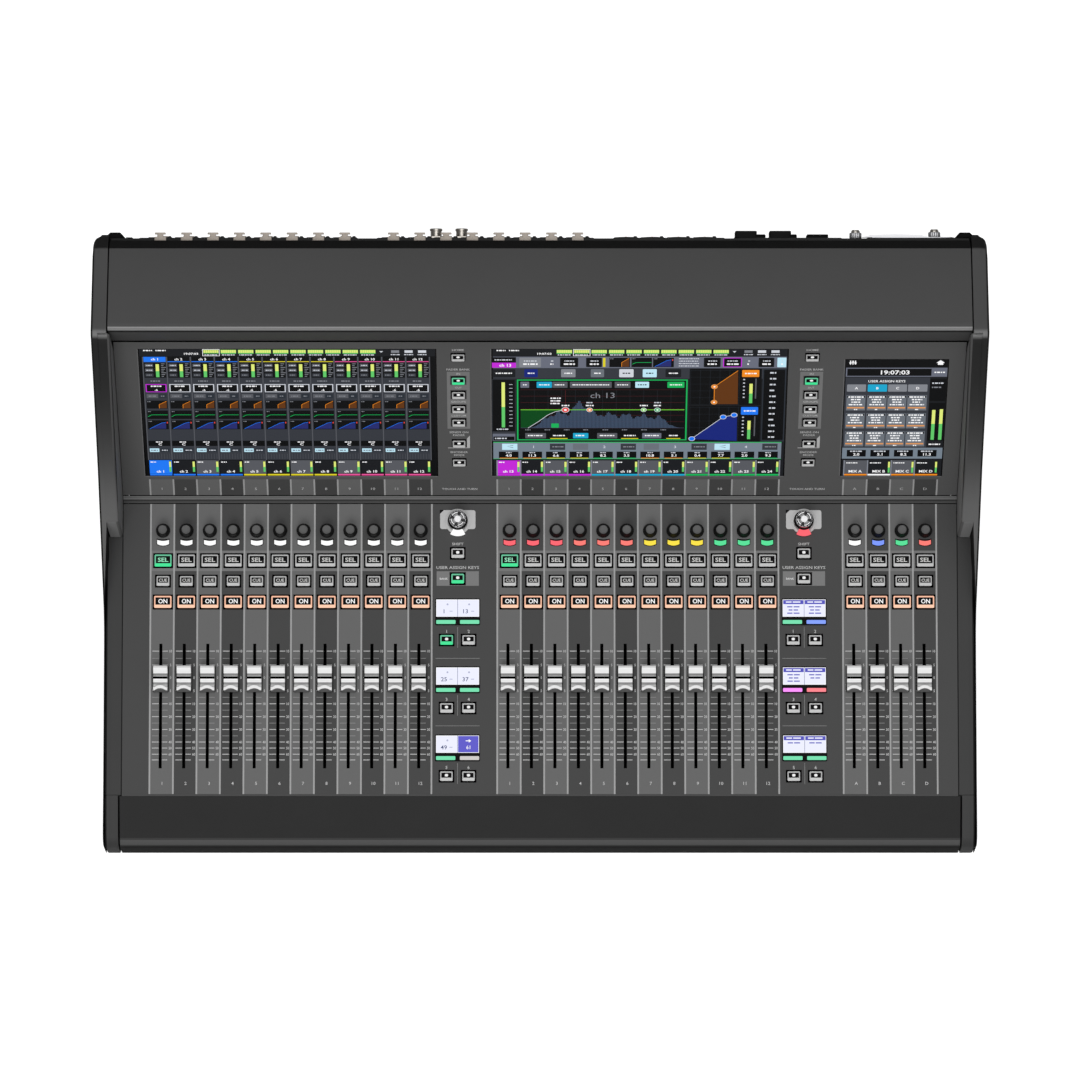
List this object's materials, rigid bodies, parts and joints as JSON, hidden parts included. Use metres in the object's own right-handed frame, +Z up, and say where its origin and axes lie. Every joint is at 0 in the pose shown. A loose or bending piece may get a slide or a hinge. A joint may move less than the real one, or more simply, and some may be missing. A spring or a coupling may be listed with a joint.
{
  "type": "mixing console",
  "caption": "Digital mixing console: a sloped deck of sliding faders, keys and knobs, a steep panel of touchscreens under a deep hood, side cheeks and a padded armrest.",
  "frame": {"origin": "on the table, under the middle of the whole object's box", "axes": "+Z up, +X to the operator's right along the width, +Y to the rear"},
  "size_m": [0.793, 0.564, 0.3247],
  "materials": {
    "casing_paint": "fine-grained satin dark grey",
    "cheek_paint": "satin dark grey moulding",
    "armrest_skin": "pebbled soft-touch black",
    "black_steel": "black powder coat",
    "screen_glass": "black cover glass over a lit display",
    "key_silicone": "matte grey with dark window",
    "knob_black": "matte black",
    "knob_silver": "spun silver",
    "cap_silver": "satin silver-white",
    "foot_rubber": "matte black",
    "circuit_board": "solder mask green"
  },
  "bodies": {
    "console": {"bottom_chassis": "black_steel", "left_cheek": "cheek_paint", "right_cheek": "cheek_paint", "rear_hood": "casing_paint", "display_panel": "casing_paint", "fader_deck": "casing_paint", "armrest": "armrest_skin", "rear_panel": "black_steel", "touchscreen_left": "screen_glass", "touchscreen_centre": "screen_glass", "touchscreen_right": "screen_glass", "main_board": "circuit_board", "power_supply": "black_steel", "foot_front_left": "foot_rubber", "foot_front_right": "foot_rubber", "foot_rear_left": "foot_rubber", "foot_rear_right": "foot_rubber", "encoder_row_left": "knob_black", "encoder_row_centre": "knob_black"},
    "fader_left_01": {"fader_left_01": "cap_silver"},
    "fader_centre_01": {"fader_centre_01": "cap_silver"},
    "fader_right_01": {"fader_right_01": "cap_silver"},
    "touch_knob_left": {"touch_knob_left": "knob_silver"},
    "touch_knob_centre": {"touch_knob_centre": "knob_silver"},
    "encoder_right_01": {"encoder_right_01": "knob_black"},
    "encoder_right_02": {"encoder_right_02": "knob_black"},
    "encoder_right_03": {"encoder_right_03": "knob_black"},
    "encoder_right_04": {"encoder_right_04": "knob_black"},
    "key_mat_left": {"key_mat_left": "key_silicone"},
    "key_mat_centre": {"key_mat_centre": "key_silicone"},
    "key_mat_right": {"key_mat_right": "key_silicone"},
    "user_key_mat_left": {"user_key_mat_left": "key_silicone"},
    "user_key_mat_centre": {"user_key_mat_centre": "key_silicone"},
    "display_key_mat_left": {"display_key_mat_left": "key_silicone"},
    "display_key_mat_centre": {"display_key_mat_centre": "key_silicone"},
    "fader_left_02": {"fader_left_02": "cap_silver"},
    "fader_left_03": {"fader_left_03": "cap_silver"},
    "fader_left_04": {"fader_left_04": "cap_silver"},
    "fader_left_05": {"fader_left_05": "cap_silver"},
    "fader_left_06": {"fader_left_06": "cap_silver"},
    "fader_left_07": {"fader_left_07": "cap_silver"},
    "fader_left_08": {"fader_left_08": "cap_silver"},
    "fader_left_09": {"fader_left_09": "cap_silver"},
    "fader_left_10": {"fader_left_10": "cap_silver"},
    "fader_left_11": {"fader_left_11": "cap_silver"},
    "fader_left_12": {"fader_left_12": "cap_silver"},
    "fader_centre_02": {"fader_centre_02": "cap_silver"},
    "fader_centre_03": {"fader_centre_03": "cap_silver"},
    "fader_centre_04": {"fader_centre_04": "cap_silver"},
    "fader_centre_05": {"fader_centre_05": "cap_silver"},
    "fader_centre_06": {"fader_centre_06": "cap_silver"},
    "fader_centre_07": {"fader_centre_07": "cap_silver"},
    "fader_centre_08": {"fader_centre_08": "cap_silver"},
    "fader_centre_09": {"fader_centre_09": "cap_silver"},
    "fader_centre_10": {"fader_centre_10": "cap_silver"},
    "fader_centre_11": {"fader_centre_11": "cap_silver"},
    "fader_centre_12": {"fader_centre_12": "cap_silver"},
    "fader_right_02": {"fader_right_02": "cap_silver"},
    "fader_right_03": {"fader_right_03": "cap_silver"},
    "fader_right_04": {"fader_right_04": "cap_silver"}
  },
  "joints": [
    {"name": "fader_left_01_slide", "type": "slide", "parent": "console", "child": "fader_left_01", "axis": [0, 0.9951, 0.0986], "range_m": [-0.073, 0.027]},
    {"name": "fader_centre_01_slide", "type": "slide", "parent": "console", "child": "fader_centre_01", "axis": [0, 0.9951, 0.0986], "range_m": [-0.073, 0.027]},
    {"name": "fader_right_01_slide", "type": "slide", "parent": "console", "child": "fader_right_01", "axis": [0, 0.9951, 0.0986], "range_m": [-0.073, 0.027]},
    {"name": "touch_knob_left_turn", "type": "hinge", "parent": "console", "child": "touch_knob_left", "pos_m": [-0.0748, 0.01215, 0.09896], "axis": [0, -0.0986, 0.9951], "continuous": true},
    {"name": "touch_knob_centre_turn", "type": "hinge", "parent": "console", "child": "touch_knob_centre", "pos_m": [0.24, 0.01215, 0.09896], "axis": [0, -0.0986, 0.9951], "continuous": true},
    {"name": "encoder_right_01_turn", "type": "hinge", "parent": "console", "child": "encoder_right_01", "pos_m": [0.28635, 0.0027, 0.09803], "axis": [0, -0.0986, 0.9951], "continuous": true},
    {"name": "encoder_right_02_turn", "type": "hinge", "parent": "console", "child": "encoder_right_02", "pos_m": [0.30765, 0.0027, 0.09803], "axis": [0, -0.0986, 0.9951], "continuous": true},
    {"name": "encoder_right_03_turn", "type": "hinge", "parent": "console", "child": "encoder_right_03", "pos_m": [0.32895, 0.0027, 0.09803], "axis": [0, -0.0986, 0.9951], "continuous": true},
    {"name": "encoder_right_04_turn", "type": "hinge", "parent": "console", "child": "encoder_right_04", "pos_m": [0.35025, 0.0027, 0.09803], "axis": [0, -0.0986, 0.9951], "continuous": true},
    {"name": "key_mat_left_press", "type": "slide", "parent": "console", "child": "key_mat_left", "axis": [0, 0.0986, -0.9951], "range_m": [0, 0.001], "stiffness_N_per_m": 2000, "springref_m": -0.0005},
    {"name": "key_mat_centre_press", "type": "slide", "parent": "console", "child": "key_mat_centre", "axis": [0, 0.0986, -0.9951], "range_m": [0, 0.001], "stiffness_N_per_m": 2000, "springref_m": -0.0005},
    {"name": "key_mat_right_press", "type": "slide", "parent": "console", "child": "key_mat_right", "axis": [0, 0.0986, -0.9951], "range_m": [0, 0.001], "stiffness_N_per_m": 2000, "springref_m": -0.0005},
    {"name": "user_key_mat_left_press", "type": "slide", "parent": "console", "child": "user_key_mat_left", "axis": [0, 0.0986, -0.9951], "range_m": [0, 0.001], "stiffness_N_per_m": 2000, "springref_m": -0.0005},
    {"name": "user_key_mat_centre_press", "type": "slide", "parent": "console", "child": "user_key_mat_centre", "axis": [0, 0.0986, -0.9951], "range_m": [0, 0.001], "stiffness_N_per_m": 2000, "springref_m": -0.0005},
    {"name": "display_key_mat_left_press", "type": "slide", "parent": "console", "child": "display_key_mat_left", "axis": [0, 0.8625, -0.506], "range_m": [0, 0.001], "stiffness_N_per_m": 2000, "springref_m": -0.0005},
    {"name": "display_key_mat_centre_press", "type": "slide", "parent": "console", "child": "display_key_mat_centre", "axis": [0, 0.8625, -0.506], "range_m": [0, 0.001], "stiffness_N_per_m": 2000, "springref_m": -0.0005},
    {"name": "fader_left_02_slide", "type": "slide", "parent": "console", "child": "fader_left_02", "axis": [0, 0.9951, 0.0986], "range_m": [-0.073, 0.027]},
    {"name": "fader_left_03_slide", "type": "slide", "parent": "console", "child": "fader_left_03", "axis": [0, 0.9951, 0.0986], "range_m": [-0.073, 0.027]},
    {"name": "fader_left_04_slide", "type": "slide", "parent": "console", "child": "fader_left_04", "axis": [0, 0.9951, 0.0986], "range_m": [-0.073, 0.027]},
    {"name": "fader_left_05_slide", "type": "slide", "parent": "console", "child": "fader_left_05", "axis": [0, 0.9951, 0.0986], "range_m": [-0.073, 0.027]},
    {"name": "fader_left_06_slide", "type": "slide", "parent": "console", "child": "fader_left_06", "axis": [0, 0.9951, 0.0986], "range_m": [-0.073, 0.027]},
    {"name": "fader_left_07_slide", "type": "slide", "parent": "console", "child": "fader_left_07", "axis": [0, 0.9951, 0.0986], "range_m": [-0.073, 0.027]},
    {"name": "fader_left_08_slide", "type": "slide", "parent": "console", "child": "fader_left_08", "axis": [0, 0.9951, 0.0986], "range_m": [-0.073, 0.027]},
    {"name": "fader_left_09_slide", "type": "slide", "parent": "console", "child": "fader_left_09", "axis": [0, 0.9951, 0.0986], "range_m": [-0.073, 0.027]},
    {"name": "fader_left_10_slide", "type": "slide", "parent": "console", "child": "fader_left_10", "axis": [0, 0.9951, 0.0986], "range_m": [-0.073, 0.027]},
    {"name": "fader_left_11_slide", "type": "slide", "parent": "console", "child": "fader_left_11", "axis": [0, 0.9951, 0.0986], "range_m": [-0.073, 0.027]},
    {"name": "fader_left_12_slide", "type": "slide", "parent": "console", "child": "fader_left_12", "axis": [0, 0.9951, 0.0986], "range_m": [-0.073, 0.027]},
    {"name": "fader_centre_02_slide", "type": "slide", "parent": "console", "child": "fader_centre_02", "axis": [0, 0.9951, 0.0986], "range_m": [-0.073, 0.027]},
    {"name": "fader_centre_03_slide", "type": "slide", "parent": "console", "child": "fader_centre_03", "axis": [0, 0.9951, 0.0986], "range_m": [-0.073, 0.027]},
    {"name": "fader_centre_04_slide", "type": "slide", "parent": "console", "child": "fader_centre_04", "axis": [0, 0.9951, 0.0986], "range_m": [-0.073, 0.027]},
    {"name": "fader_centre_05_slide", "type": "slide", "parent": "console", "child": "fader_centre_05", "axis": [0, 0.9951, 0.0986], "range_m": [-0.073, 0.027]},
    {"name": "fader_centre_06_slide", "type": "slide", "parent": "console", "child": "fader_centre_06", "axis": [0, 0.9951, 0.0986], "range_m": [-0.073, 0.027]},
    {"name": "fader_centre_07_slide", "type": "slide", "parent": "console", "child": "fader_centre_07", "axis": [0, 0.9951, 0.0986], "range_m": [-0.073, 0.027]},
    {"name": "fader_centre_08_slide", "type": "slide", "parent": "console", "child": "fader_centre_08", "axis": [0, 0.9951, 0.0986], "range_m": [-0.073, 0.027]},
    {"name": "fader_centre_09_slide", "type": "slide", "parent": "console", "child": "fader_centre_09", "axis": [0, 0.9951, 0.0986], "range_m": [-0.073, 0.027]},
    {"name": "fader_centre_10_slide", "type": "slide", "parent": "console", "child": "fader_centre_10", "axis": [0, 0.9951, 0.0986], "range_m": [-0.073, 0.027]},
    {"name": "fader_centre_11_slide", "type": "slide", "parent": "console", "child": "fader_centre_11", "axis": [0, 0.9951, 0.0986], "range_m": [-0.073, 0.027]},
    {"name": "fader_centre_12_slide", "type": "slide", "parent": "console", "child": "fader_centre_12", "axis": [0, 0.9951, 0.0986], "range_m": [-0.073, 0.027]},
    {"name": "fader_right_02_slide", "type": "slide", "parent": "console", "child": "fader_right_02", "axis": [0, 0.9951, 0.0986], "range_m": [-0.073, 0.027]},
    {"name": "fader_right_03_slide", "type": "slide", "parent": "console", "child": "fader_right_03", "axis": [0, 0.9951, 0.0986], "range_m": [-0.073, 0.027]},
    {"name": "fader_right_04_slide", "type": "slide", "parent": "console", "child": "fader_right_04", "axis": [0, 0.9951, 0.0986], "range_m": [-0.073, 0.027]}
  ]
}
